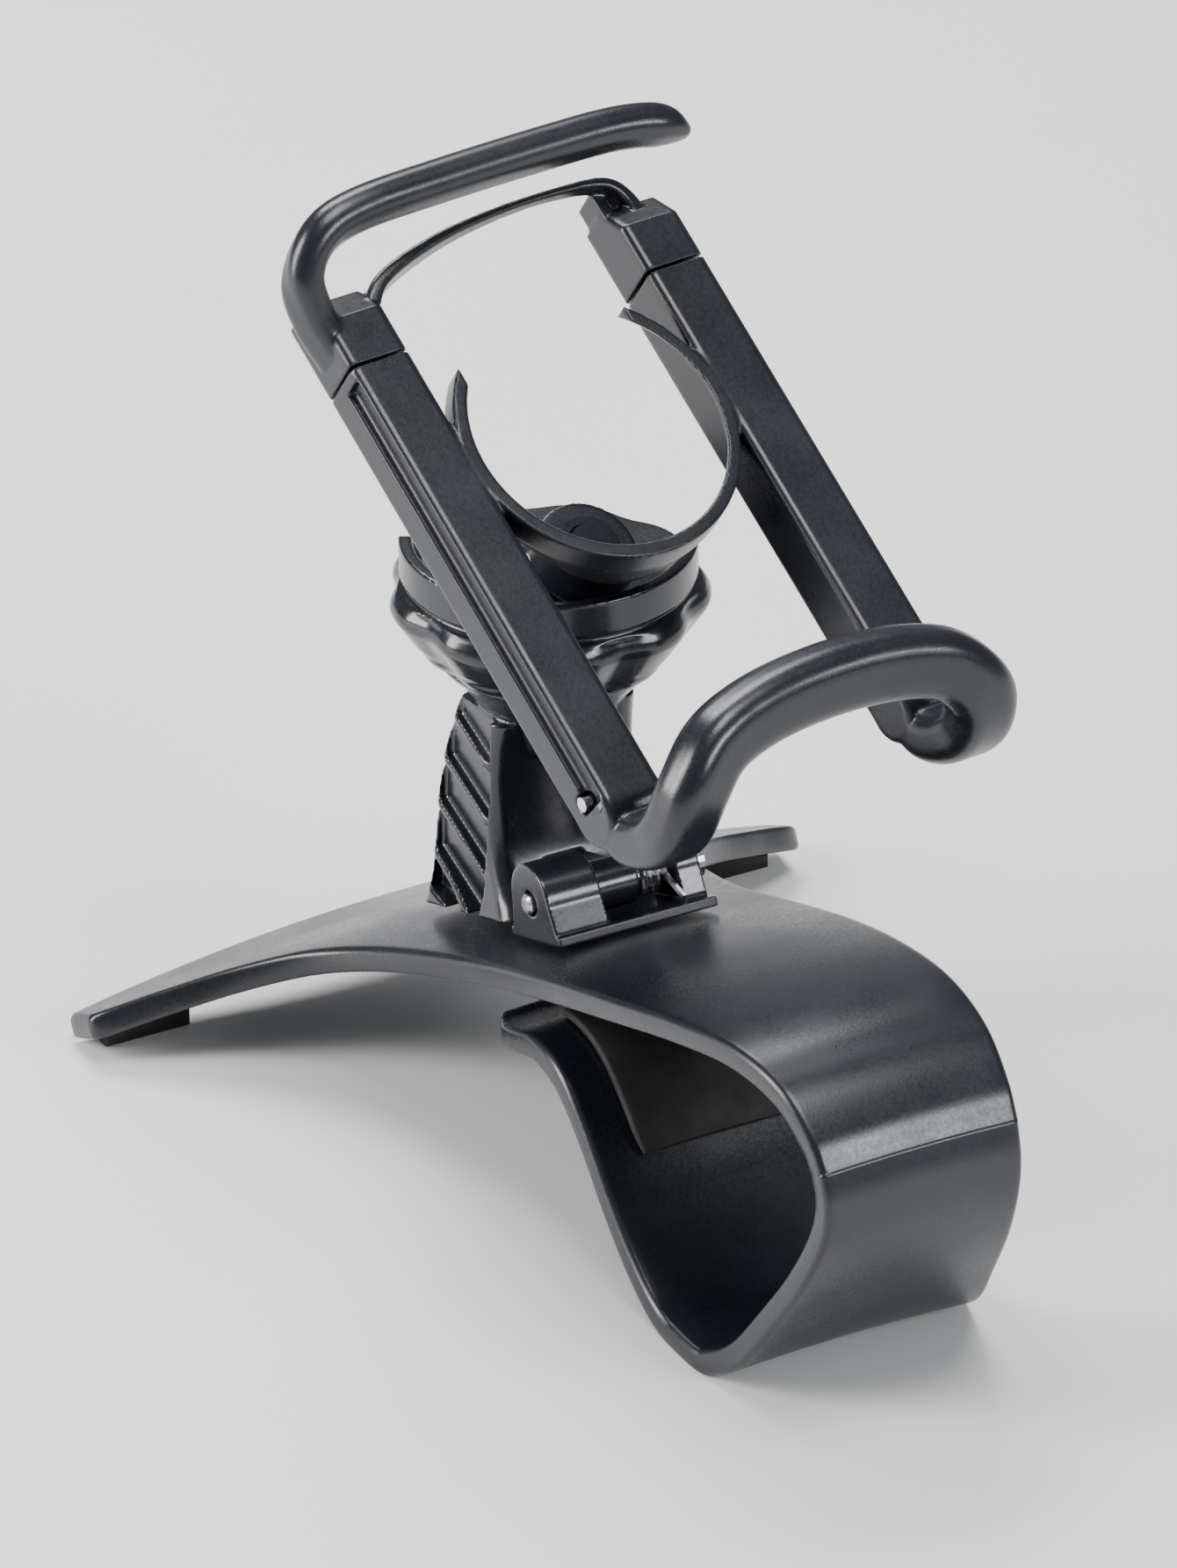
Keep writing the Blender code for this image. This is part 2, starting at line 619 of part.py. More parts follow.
def make_rail_inside(side, v0, v1, outer, reach, pivot, looks):
    """What the rail holds: its back cover, the spring's pin and the spring."""
    edge = RAIL_WALL + CLEAR
    cover = box((RAIL_TOP + CLEAR, v0 + edge, -RAIL_DEPTH), (CHANNEL_END - CLEAR, v1 - edge, -7.0))
    solid(side + "_rail_back", cover, looks["plastic"], pivot)
    start, stop = sorted((outer - 0.2 * reach, outer + 6.2 * reach))
    pin = spun([(0, start), (0.9, start), (0.9, stop), (0, stop)], 14)
    # the pin lies across v at the groove's lower end
    solid(side + "_spring_pin", moved(pin, Matrix.Translation((PIN_U, 0.0, -4.3))
                                      @ Matrix.Rotation(math.radians(-90.0), 4, "X")),
          looks["steel"], pivot)
    length = PIN_U - 1.6 - TONGUE_END - 0.8
    spring = coil(1.55, 0.3, 11.0, length, per_turn=9, sides=4)
    lie_down = Matrix.Translation((TONGUE_END + 0.6, (v0 + v1) / 2.0, -4.3)) @ Matrix.Rotation(
        math.radians(90.0), 4, "Y")
    solid(side + "_spring", moved(spring, lie_down), looks["steel"], pivot)


# ---------------------------------------------------------------- upper bracket

def bar_path():
    points = [(-20.0, -23.6, -4.4), (-24.6, -25.7, -1.4), (-28.4, -26.6, 2.6), (-31.4, -23.8, 5.8),
              (-32.7, -18.0, 7.0), (-33.0, -6.0, 7.2), (-33.0, 8.0, 7.2), (-32.7, 18.0, 7.2),
              (-31.6, 24.2, 7.0), (-29.6, 28.0, 6.6)]
    return spline(points, 3)


def bar_sizes():
    """Foot, middle and tip of the bar: width, thickness and corner radius."""
    return (5.8, 3.8, 1.7), (5.8, 4.9, 2.3), (3.2, 2.0, 0.9)


def web_path():
    points = [(-23.5, -18.4, -3.4), (-27.0, -14.6, -2.4), (-29.4, -6.0, -1.4), (-30.5, 4.0, -1.0),
              (-30.6, 13.5, -1.2), (-29.9, 19.0, -1.8), (-27.4, 21.4, -3.2), (-24.4, 21.6, -4.2)]
    return spline(points, 3)


def leg_section(u, drop, v0, v1):
    """The rail's outline at u, with its front face set back by drop."""
    return [(u, v, w - drop if w > -RAIL_DEPTH / 2.0 else w) for v, w in rail_section(v0, v1)]


def make_bracket(pivot, looks):
    up = Vector((0.0, 0.0, 1.0))
    bracket = solid("top_bracket", sweep(bar_path(), bar_sizes(), up, True), looks["plastic"], pivot)
    web = sweep(web_path(), ((4.0, 1.6, 0.4), (2.4, 1.1, 0.3), (4.0, 1.6, 0.4)), up, True)
    combine(bracket, solid("web", web, looks["plastic"], pivot), "UNION")
    for side, v0, v1 in mirrored_spans(RAIL_INNER, RAIL_OUTER):
        leg = loft([leg_section(u, drop, v0, v1)
                    for u, drop in ((LEG_TOP, 2.6), (LEG_RIDGE, 0.0), (RAIL_TOP - CLEAR, 0.0))])
        combine(bracket, solid("leg_" + side, leg, looks["plastic"], pivot), "UNION")
        edge = RAIL_WALL
        pocket = box((LEG_TOP + 2.5, v0 + edge, -6.8), (RAIL_TOP + 3.0, v1 - edge, -1.9))
        combine(bracket, solid("pocket_" + side, pocket, looks["plastic"], pivot), "DIFFERENCE")
        edge = RAIL_WALL + CLEAR
        tongue = box((LEG_TOP + 2.5 + CLEAR, v0 + edge, -6.5), (TONGUE_END, v1 - edge, -2.2))
        solid(side + "_slide_tongue", tongue, looks["plastic"], pivot)
    fin = box((-30.0, RAIL_INNER + 0.1, -6.6), (-24.0, RAIL_INNER + 1.7, -2.2))
    combine(bracket, solid("fin", fin, looks["plastic"], pivot), "UNION")


def main():
    clear_scene()
    looks = {
        "plastic": material("black_plastic", BLACK, 0.36),
        "rubber": material("black_rubber", RUBBER_BLACK, 0.8),
        "steel": material("bright_steel", STEEL, 0.28, 1.0),
    }
    root = empty("root", None, Matrix.Translation((SHIFT_X, 0.0, 0.0)))
    jaw_pivot = empty("jaw_pivot", root, Matrix.Translation(bend_point()))
    plate = make_clip(root, jaw_pivot, looks)

    frame = hinge_frame(plate)
    make_hinge(root, frame, looks)
    pin_place = frame @ Vector((0.0, 0.0, PIN_HEIGHT))
    stem_pivot = empty("stem_pivot", root, Matrix.Translation(pin_place))
    make_stem(stem_pivot, pin_place, frame, looks)

    at_ball = Matrix.Translation(BALL - pin_place)
    lean = Matrix.Rotation(FRAME_YAW, 4, "Z") @ Matrix.Rotation(FRAME_TILT, 4, "Y")
    pivots = {"nut": empty("nut_pivot", stem_pivot, at_ball), "seat": empty("seat_pivot", stem_pivot, at_ball)}
    pivots["ball"] = empty("ball_pivot", pivots["seat"], lean)
    make_ball_joint(pivots, looks)

    clamp_pivot = empty("clamp_pivot", pivots["ball"], Matrix.Translation(RING_OFFSET))
    make_clamp_frame(clamp_pivot, looks)
    make_bracket(empty("bracket_pivot", clamp_pivot, Matrix.Identity(4)), looks)


main()
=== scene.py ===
"""Looks for the clip-on hair dryer holder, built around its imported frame.

Shapes are worked out in millimetres, in the part's own design axes (x = 0 at the lowest point of the
clip band), and every finished mesh is placed in metres in the row frame.
"""
import json
import math

import bpy
from mathutils import Matrix, Vector


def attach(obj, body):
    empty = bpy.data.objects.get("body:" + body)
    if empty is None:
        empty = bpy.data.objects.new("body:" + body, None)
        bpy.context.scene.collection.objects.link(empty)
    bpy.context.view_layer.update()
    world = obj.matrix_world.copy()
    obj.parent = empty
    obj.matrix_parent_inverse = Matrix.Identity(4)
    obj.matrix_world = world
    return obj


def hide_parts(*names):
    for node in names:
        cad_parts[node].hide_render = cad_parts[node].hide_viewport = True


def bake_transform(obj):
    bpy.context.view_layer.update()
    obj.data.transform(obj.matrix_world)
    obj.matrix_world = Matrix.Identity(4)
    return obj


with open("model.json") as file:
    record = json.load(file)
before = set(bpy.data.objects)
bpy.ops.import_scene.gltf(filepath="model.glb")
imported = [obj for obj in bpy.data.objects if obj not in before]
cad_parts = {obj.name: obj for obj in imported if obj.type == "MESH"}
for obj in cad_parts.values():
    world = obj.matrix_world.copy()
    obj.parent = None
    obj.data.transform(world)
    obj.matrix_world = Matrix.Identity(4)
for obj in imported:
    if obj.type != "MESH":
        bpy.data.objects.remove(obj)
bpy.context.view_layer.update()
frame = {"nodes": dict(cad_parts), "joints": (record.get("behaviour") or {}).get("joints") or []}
joints = {joint["name"]: joint for joint in frame["joints"]}

MM = 0.001
CLEAR = 0.3                      # clearance between pieces that touch

# ---------------------------------------------------------------- driving dimensions, in mm

# Clip band: outer surface as (x, z, half width), from the wings' rear edge round to the jaw's tip
BAND_THICK = 3.2
BAND_EDGE = 0.85                 # edge rounding of the band
WING_ROUND = 0.9                 # rounding of the wings' rear edge
TIP_ROUND = 1.2                  # rounding of the jaw's tip
BAND_SPANS = 8                   # stations along each stretch of the band's outline
WING_HALF = 49.5
WING_DROOP = 5.2
PLATE_LINE = [
    (-103.0, 9.0, 49.5), (-98.5, 11.2, 49.5), (-94.5, 13.1, 42.0), (-90.0, 15.3, 34.0),
    (-84.0, 18.0, 27.2), (-76.0, 21.1, 23.0), (-66.0, 24.7, 20.2), (-55.0, 28.6, 18.6),
    (-40.0, 34.2, 18.3), (-25.0, 39.3, 18.0), (-10.0, 43.5, 16.6), (1.0, 45.3, 15.2),
    (10.0, 44.3, 14.1), (16.0, 40.6, 13.4), (18.8, 37.0, 13.1),
]
JAW_LINE = [
    (18.8, 37.0, 13.1), (20.0, 32.5, 13.0), (19.2, 27.0, 13.3), (15.8, 19.5, 14.2),
    (11.0, 12.0, 15.3), (5.5, 4.4, 16.6), (0.0, 0.6, 17.6), (-4.0, 0.0, 18.0),
    (-9.0, 0.0, 18.0), (-14.0, 1.4, 18.0), (-19.5, 4.9, 18.0), (-25.0, 9.8, 18.0),
    (-31.0, 16.0, 18.0), (-36.5, 20.2, 18.0), (-42.0, 21.0, 17.8), (-47.5, 19.0, 17.2),
    (-53.0, 16.6, 16.0), (-56.5, 16.0, 14.5),
]

# Soft linings
LINING_WIDTH = 0.7               # the jaw's lining, as a share of the band's width
LINING_THICK = 1.2
WING_PAD_X = -102.6
WING_PAD_DEEP = 3.0
WING_PAD_INNER = 35.0
WING_PAD_OUTER = 46.5

# Mast hinge and mast
PIN_HEIGHT = 5.2
PIN_RADIUS = 1.25
MAST_SECTIONS = [                # rear x, rear z, front x, front z, half width
    (-83.8, 19.4, -60.8, 27.8, 11.4), (-83.4, 24.0, -63.4, 30.2, 10.6),
    (-83.0, 31.0, -66.0, 34.6, 10.3), (-81.9, 38.0, -67.3, 40.4, 10.2),
    (-79.8, 45.0, -67.2, 46.4, 10.1), (-77.4, 51.0, -66.2, 51.6, 9.8),
]
RIB_PITCH = 7.55
RIB_THICK = 1.1
RIB_SLOPE = -0.33                # ribs run down towards the front
RIB_START = (-75.0, 17.25)       # x and z on the line of the lowest rib
RIB_REAR = (-82.3, -82.1, -81.1, -79.2, -76.9)
RIB_FRONT = -68.4
RIB_FOOT = 22.0                  # pockets stop above the plate

# Ball joint
BALL_RADIUS = 8.6
SOCKET_RADIUS = 12.3
NUT_LOBES = 9
NUT_TOP = 10.3                   # height of the collar's raised side above the ball's centre
NUT_SILL = 4.5                   # height of its low side
NUT_FRONT = math.radians(-28.0)  # the collar's raised side faces this way
STUD_RADIUS = 2.6

# Clamp frame: u runs down the rails, v across and w out of the front face, from the ring's centre
RING_OFFSET = Vector((-8.0, 0.0, 30.0))
RAIL_INNER = 17.2
RAIL_OUTER = 25.5
RAIL_DEPTH = 8.2
RAIL_TOP = -16.8
RAIL_END = 48.0
END_ROUND = 3.6                  # the rail's lower end is rounded over this length
CHANNEL_END = 44.0
RAIL_WALL = 1.6
RING_BORE = 16.2
RING_OUTER = 17.9
SIGHT_SLANT = (-0.383, 0.623)
LEG_TOP = -27.2
LEG_RIDGE = -23.4                # above this the leg's face slopes back
PIN_U = 42.6
GROOVE_LOW = -3.7                # groove in the rail's outer wall, in w
GROOVE_HIGH = -0.6
GROOVE_END = 43.7
HUB_LOW = -18.5                  # hub on the stud: its foot, its cut top and where the flare starts
HUB_TOP = -15.5
FLARE_LOW = -11.7
HUB_RADIUS = 6.4

# ---------------------------------------------------------------- places taken from the frame

bend_place = Vector(joints["jaw_flex"]["pos_m"]) / MM
pin_place = Vector(joints["mast_tilt"]["pos_m"]) / MM
ball_place = Vector(joints["ball_pan"]["pos_m"]) / MM
SHIFT = Vector((bend_place.x - JAW_LINE[0][0], 0.0, 0.0))
to_row = Matrix.Scale(MM, 4) @ Matrix.Translation(SHIFT)

axis_u = -Vector(joints["bracket_slide"]["axis"]).normalized()
axis_w = Vector(joints["frame_spin"]["axis"]).normalized()
axis_v = axis_w.cross(axis_u).normalized()
ring_place = ball_place + axis_u * RING_OFFSET.x + axis_w * RING_OFFSET.z
clamp_axes = Matrix((
    (axis_u.x, axis_v.x, axis_w.x, ring_place.x), (axis_u.y, axis_v.y, axis_w.y, ring_place.y),
    (axis_u.z, axis_v.z, axis_w.z, ring_place.z), (0.0, 0.0, 0.0, 1.0)))
clamp_to_row = Matrix.Scale(MM, 4) @ clamp_axes
ball_to_row = Matrix.Scale(MM, 4) @ Matrix.Translation(ball_place)


# ---------------------------------------------------------------- shapes as (points, faces)

def signed_volume(points, faces):
    total = 0.0
    for face in faces:
        first = Vector(points[face[0]])
        for a, b in zip(face[1:-1], face[2:]):
            total += first.dot(Vector(points[a]).cross(Vector(points[b])))
    return total / 6.0


def outward(points, faces):
    if signed_volume(points, faces) < 0.0:
        faces = [tuple(reversed(face)) for face in faces]
    return points, faces


def loft(sections):
    """A closed body through rings with the same number of points."""
    count = len(sections[0])
    points = [tuple(p) for ring in sections for p in ring]
    faces = [tuple(range(count - 1, -1, -1)), tuple(range(len(points) - count, len(points)))]
    for row in range(len(sections) - 1):
        for i in range(count):
            a = row * count + i
            b = row * count + (i + 1) % count
            faces.append((a, b, b + count, a + count))
    return outward(points, faces)


def box(low, high):
    (x0, y0, z0), (x1, y1, z1) = low, high
    lower = [(x0, y0, z0), (x1, y0, z0), (x1, y1, z0), (x0, y1, z0)]
    return loft([lower, [(x, y, z1) for x, y, _ in lower]])


def prism(outline, y0, y1):
    return loft([[(x, y0, z) for x, z in outline], [(x, y1, z) for x, z in outline]])


def turned(profile, steps):
    """Turns a closed profile of (radius, height) points about Z."""
    rings = []
    for i in range(steps):
        angle = 2.0 * math.pi * i / steps
        rings.append([(r * math.cos(angle), r * math.sin(angle), h) for r, h in profile])
    return closed_rings(rings)


def closed_rings(rings):
    """Joins rings of points in a circle, the last one to the first."""
    points = [p for ring in rings for p in ring]
    count = len(rings[0])
    faces = []
    for i in range(len(rings)):
        there = ((i + 1) % len(rings)) * count
        for k in range(count):
            ahead = (k + 1) % count
            faces.append((i * count + k, i * count + ahead, there + ahead, there + k))
    return outward(points, faces)


def spun(profile, steps):
    """Turns an open profile whose two ends lie on the axis."""
    points = [(0.0, 0.0, profile[0][1]), (0.0, 0.0, profile[-1][1])]
    inner = profile[1:-1]
    for i in range(steps):
        angle = 2.0 * math.pi * i / steps
        points += [(r * math.cos(angle), r * math.sin(angle), h) for r, h in inner]
    count = len(inner)
    faces = []
    for i in range(steps):
        here = 2 + i * count
        there = 2 + ((i + 1) % steps) * count
        faces.append((0, there, here))
        faces.append((1, here + count - 1, there + count - 1))
        for k in range(count - 1):
            faces.append((here + k, there + k, there + k + 1, here + k + 1))
    return outward(points, faces)


def moved(shape, matrix):
    points, faces = shape
    return [tuple(matrix @ Vector(p)) for p in points], faces


def along_y(shape, x, z):
    """Lays a body turned about Z along Y, centred at (x, z)."""
    return moved(shape, Matrix.Translation((x, 0.0, z)) @ Matrix.Rotation(math.radians(-90.0), 4, "X"))


def spline(points, per_span):
    """A smooth curve through points of any dimension (Catmull-Rom)."""
    rows = [Vector(p) for p in points]
    rows = [rows[0] * 2.0 - rows[1]] + rows + [rows[-1] * 2.0 - rows[-2]]
    curve = []
    for i in range(1, len(rows) - 2):
        before, here, after, beyond = rows[i - 1:i + 3]
        for step in range(per_span):
            t = step / per_span
            curve.append(0.5 * (2.0 * here + (after - before) * t
                                + (2.0 * before - 5.0 * here + 4.0 * after - beyond) * t * t
                                + (3.0 * here - before - 3.0 * after + beyond) * t ** 3))
    curve.append(rows[-2])
    return curve


def rounded_section(width, thick, radius, per_corner=7):
    """Points of a rounded rectangle, as (across, through)."""
    half_w, half_t = width / 2.0 - radius, thick / 2.0 - radius
    ring = []
    for corner, (sx, sy) in enumerate(((1, 1), (-1, 1), (-1, -1), (1, -1))):
        for k in range(per_corner):
            angle = math.radians(90.0 * corner + 90.0 * k / (per_corner - 1))
            ring.append((sx * half_w + radius * math.cos(angle), sy * half_t + radius * math.sin(angle)))
    return ring


def sweep(path, size_at, side, steady=False):
    """Carries a rounded section along a path; size_at(t) gives (width, thickness, radius) for t from
    0 to 1. side is the direction of the width, at the start or, if steady, all along."""
    tangents = []
    for i in range(len(path)):
        tangents.append((path[min(i + 1, len(path) - 1)] - path[max(i - 1, 0)]).normalized())
    across = (side - tangents[0] * side.dot(tangents[0])).normalized()
    rings = []
    for i, (place, tangent) in enumerate(zip(path, tangents)):
        if i:
            turn = tangents[i - 1].rotation_difference(tangent)
            across = side.copy() if steady else turn @ across
            across = (across - tangent * across.dot(tangent)).normalized()
        through = tangent.cross(across)
        section = rounded_section(*size_at(i / (len(path) - 1)))
        rings.append([place + across * a + through * b for a, b in section])
    return loft(rings)


def ease(t):
    t = min(max(t, 0.0), 1.0)
    return t * t * (3.0 - 2.0 * t)


def three_sizes(first, middle, last):
    """Section size that eases from one end to the middle and on to the other end."""
    def size_at(t):
        here, there, local = (first, middle, 2.0 * t) if t <= 0.5 else (middle, last, 2.0 * t - 1.0)
        return tuple(a + (b - a) * ease(local) for a, b in zip(here, there))
    return size_at


# ---------------------------------------------------------------- meshes

def temporary(shape):
    points, faces = shape
    mesh = bpy.data.meshes.new("shape")
    mesh.from_pydata([tuple(p) for p in points], [], faces)
    mesh.update()
    obj = bpy.data.objects.new("shape", mesh)
    bpy.context.scene.collection.objects.link(obj)
    return obj


def evaluated_shape(obj):
    """The object's mesh with its modifiers, as (points, faces)."""
    shown = obj.evaluated_get(bpy.context.evaluated_depsgraph_get())
    mesh = shown.to_mesh()
    points = [tuple(v.co) for v in mesh.vertices]
    faces = [tuple(p.vertices) for p in mesh.polygons]
    shown.to_mesh_clear()
    return points, faces


def discard(*objects):
    for obj in objects:
        mesh = obj.data
        bpy.data.objects.remove(obj)
        bpy.data.meshes.remove(mesh)


def cut(shape, *tools):
    """The shape less every tool."""
    target = temporary(shape)
    cutters = [temporary(tool) for tool in tools]
    for cutter in cutters:
        modifier = target.modifiers.new("cut", "BOOLEAN")
        modifier.operation = "DIFFERENCE"
        modifier.object = cutter
    result = evaluated_shape(target)
    discard(target, *cutters)
    return result


def merged(shapes):
    points, faces = [], []
    for more_points, more_faces in shapes:
        start = len(points)
        points += more_points
        faces += [tuple(i + start for i in face) for face in more_faces]
    return points, faces


def moulded(shapes, voxel, rounds):
    """One moulding from overlapping shapes: a fine remesh joins them, and smoothing rounds the edges."""
    target = temporary(merged(shapes))
    remesh = target.modifiers.new("join", "REMESH")
    remesh.mode = "VOXEL"
    remesh.voxel_size = voxel
    smooth = target.modifiers.new("round", "SMOOTH")
    smooth.factor = 0.5
    smooth.iterations = rounds
    result = evaluated_shape(target)
    discard(target)
    return result


def piece(name, shape, place, look, body=None, smooth_angle=None):
    """A finished visible mesh in the row frame."""
    points, faces = shape
    mesh = bpy.data.meshes.new(name)
    mesh.from_pydata([place @ Vector(p) for p in points], [], faces)
    mesh.update()
    mesh.materials.append(look)
    mesh.shade_smooth()
    if smooth_angle:
        mesh.set_sharp_from_angle(angle=math.radians(smooth_angle))
    obj = bpy.data.objects.new(name, mesh)
    bpy.context.scene.collection.objects.link(obj)
    if body:
        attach(obj, body)
    return obj


# ---------------------------------------------------------------- materials

def node_material(name):
    made = bpy.data.materials.new(name)
    made.use_nodes = True
    tree = made.node_tree
    return made, tree, tree.nodes["Principled BSDF"]


def noise(tree, scale, detail, roughness, distortion=0.0):
    place = tree.nodes.new("ShaderNodeTexCoord")
    made = tree.nodes.new("ShaderNodeTexNoise")
    made.inputs["Scale"].default_value = scale
    made.inputs["Detail"].default_value = detail
    made.inputs["Roughness"].default_value = roughness
    made.inputs["Distortion"].default_value = distortion
    tree.links.new(place.outputs["Object"], made.inputs["Vector"])
    return made.outputs["Fac"]


def spread(tree, value, low, high, from_low=0.3, from_high=0.7):
    made = tree.nodes.new("ShaderNodeMapRange")
    made.inputs["From Min"].default_value = from_low
    made.inputs["From Max"].default_value = from_high
    made.inputs["To Min"].default_value = low
    made.inputs["To Max"].default_value = high
    tree.links.new(value, made.inputs["Value"])
    return made.outputs["Result"]


def tint(tree, value, stops):
    made = tree.nodes.new("ShaderNodeValToRGB")
    ramp = made.color_ramp
    ramp.elements[0].position, ramp.elements[0].color = stops[0][0], (*stops[0][1], 1.0)
    ramp.elements[1].position, ramp.elements[1].color = stops[-1][0], (*stops[-1][1], 1.0)
    for position, colour in stops[1:-1]:
        ramp.elements.new(position).color = (*colour, 1.0)
    tree.links.new(value, made.inputs["Fac"])
    return made.outputs["Color"]


def total(tree, first, second):
    made = tree.nodes.new("ShaderNodeMath")
    made.operation = "ADD"
    tree.links.new(first, made.inputs[0])
    tree.links.new(second, made.inputs[1])
    return made.outputs["Value"]


def bump(tree, height, strength, distance, below=None):
    made = tree.nodes.new("ShaderNodeBump")
    made.inputs["Strength"].default_value = strength
    made.inputs["Distance"].default_value = distance
    tree.links.new(height, made.inputs["Height"])
    if below:
        tree.links.new(below, made.inputs["Normal"])
    return made.outputs["Normal"]


def plastic_look(name, rough_low, rough_high, grain_strength):
    """Blue-black moulded plastic: soft mottling, a fine spark-eroded grain and faint flow marks."""
    made, tree, shader = node_material(name)
    mottle = noise(tree, 55.0, 5.0, 0.6)
    colour = tint(tree, mottle, [(0.3, (0.0045, 0.0055, 0.009)), (0.55, (0.0075, 0.009, 0.014)),
                                 (0.75, (0.012, 0.014, 0.021))])
    tree.links.new(colour, shader.inputs["Base Color"])
    patches = spread(tree, noise(tree, 70.0, 4.0, 0.55), rough_low, rough_high)
    speckle = spread(tree, noise(tree, 1900.0, 2.0, 0.6), -0.03, 0.05)
    tree.links.new(total(tree, patches, speckle), shader.inputs["Roughness"])
    grain = bump(tree, noise(tree, 2600.0, 2.0, 0.65), grain_strength, 0.00005)
    waves = bump(tree, noise(tree, 38.0, 1.0, 0.4), 0.10, 0.0004, grain)
    tree.links.new(waves, shader.inputs["Normal"])
    shader.inputs["Specular IOR Level"].default_value = 0.55
    shader.inputs["IOR"].default_value = 1.52
    return made


def rubber_look(name):
    made, tree, shader = node_material(name)
    mottle = noise(tree, 120.0, 4.0, 0.6)
    colour = tint(tree, mottle, [(0.35, (0.008, 0.008, 0.009)), (0.7, (0.018, 0.018, 0.019))])
    tree.links.new(colour, shader.inputs["Base Color"])
    tree.links.new(spread(tree, noise(tree, 260.0, 3.0, 0.6), 0.62, 0.82), shader.inputs["Roughness"])
    tree.links.new(bump(tree, noise(tree, 1500.0, 3.0, 0.6), 0.5, 0.00015), shader.inputs["Normal"])
    return made


def steel_look(name):
    made, tree, shader = node_material(name)
    mottle = noise(tree, 300.0, 3.0, 0.5)
    colour = tint(tree, mottle, [(0.35, (0.48, 0.48, 0.50)), (0.7, (0.72, 0.72, 0.74))])
    tree.links.new(colour, shader.inputs["Base Color"])
    shader.inputs["Metallic"].default_value = 1.0
    tree.links.new(spread(tree, noise(tree, 900.0, 3.0, 0.6), 0.18, 0.36), shader.inputs["Roughness"])
    tree.links.new(bump(tree, noise(tree, 2200.0, 2.0, 0.5), 0.2, 0.00005), shader.inputs["Normal"])
    return made


def floor_look(name):
    made, tree, shader = node_material(name)
    mottle = noise(tree, 6.0, 3.0, 0.5)
    colour = tint(tree, mottle, [(0.3, (0.80, 0.80, 0.795)), (0.7, (0.84, 0.84, 0.835))])
    tree.links.new(colour, shader.inputs["Base Color"])
    tree.links.new(spread(tree, noise(tree, 14.0, 3.0, 0.5), 0.5, 0.6), shader.inputs["Roughness"])
    return made


looks = {
    "satin": plastic_look("satin_black_plastic", 0.24, 0.34, 0.22),
    "gloss": plastic_look("gloss_black_plastic", 0.17, 0.25, 0.10),
    "rubber": rubber_look("soft_black_rubber"),
    "steel": steel_look("bright_spring_steel"),
}


# ---------------------------------------------------------------- clip band

def droop(y):
    return WING_DROOP * (y / WING_HALF) ** 2


def band_points(line, per_span):
    """Smooth stations of (x, z, half width), kept above the table and inside the wing span."""
    return [Vector((p.x, max(p.y, 0.0), min(p.z, WING_HALF))) for p in spline(line, per_span)]


def band_run():
    """Direction of the band where the plate meets the jaw."""
    return Vector((JAW_LINE[1][0] - PLATE_LINE[-2][0], JAW_LINE[1][1] - PLATE_LINE[-2][1])).normalized()


def band_normals(stations):
    normals = []
    for i in range(len(stations)):
        ahead = stations[min(i + 1, len(stations) - 1)]
        behind = stations[max(i - 1, 0)]
        run = Vector((ahead.x - behind.x, ahead.y - behind.y)).normalized()
        if math.hypot(stations[i].x - JAW_LINE[0][0], stations[i].y - JAW_LINE[0][1]) < 0.05:
            run = band_run()
        normals.append(Vector((-run.y, run.x)))
    return normals


def band_outline(half, thick, radius, across, per_corner=5):
    """Rounded strip section as (across, depth), with points spread over its width."""
    radius = min(radius, thick / 2.0 - 0.02, half - 0.02)
    flat = half - radius
    ring = [(flat * (2.0 * k / across - 1.0), 0.0) for k in range(across)]
    ring += [(flat + radius * math.sin(math.radians(90.0 * k / per_corner)),
              radius * (1.0 - math.cos(math.radians(90.0 * k / per_corner)))) for k in range(per_corner)]
    ring += [(flat + radius * math.cos(math.radians(90.0 * k / per_corner)),
              thick - radius + radius * math.sin(math.radians(90.0 * k / per_corner)))
             for k in range(per_corner)]
    ring += [(-a, thick - b) for a, b in ring]
    return ring


def band_ring(station, normal, half, top, thick, radius, across):
    ring = []
    for y, depth in band_outline(half, thick, radius, across):
        x = station.x - normal.x * (top + depth)
        z = station.y - normal.y * (top + depth) - droop(y)
        ring.append((x, y, max(z, 0.0)))
    return ring


def band_shape(stations, normals, across, round_start, round_end, radius=BAND_EDGE):
    """The strip through the stations; a rounded end closes like the edge of a moulding."""
    rings = [band_ring(s, n, s.z, 0.0, BAND_THICK, radius, across) for s, n in zip(stations, normals)]
    steps = 5
    for wanted, at, inward in ((round_start, 0, 1), (round_end, -1, -2)):
        if not wanted:
            continue
        step = stations[at] - stations[inward]
        run = Vector((step.x, step.y)).normalized()
        extra = []
        for k in range(1, steps + 1):
            angle = math.radians(90.0 * k / steps)
            inset = wanted * (1.0 - math.cos(angle))
            ahead = wanted * math.sin(angle)
            place = stations[at] + Vector((run.x * ahead, run.y * ahead, 0.0))
            extra.append(band_ring(place, normals[at], stations[at].z - inset, inset,
                                   BAND_THICK - 2.0 * inset, radius, across))
        rings = extra[::-1] + rings if at == 0 else rings + extra
    return loft(rings)


def pulled_back(stations, at, distance):
    """Moves one end station back along the band."""
    stations = list(stations)
    inner = stations[1 if at == 0 else -2]
    step = stations[at] - inner
    stations[at] = stations[at] - step.normalized() * distance
    return stations


def plate_height(stations, x):
    for a, b in zip(stations, stations[1:]):
        if a.x <= x <= b.x:
            return a.y + (b.y - a.y) * (x - a.x) / (b.x - a.x)
    return stations[-1].y


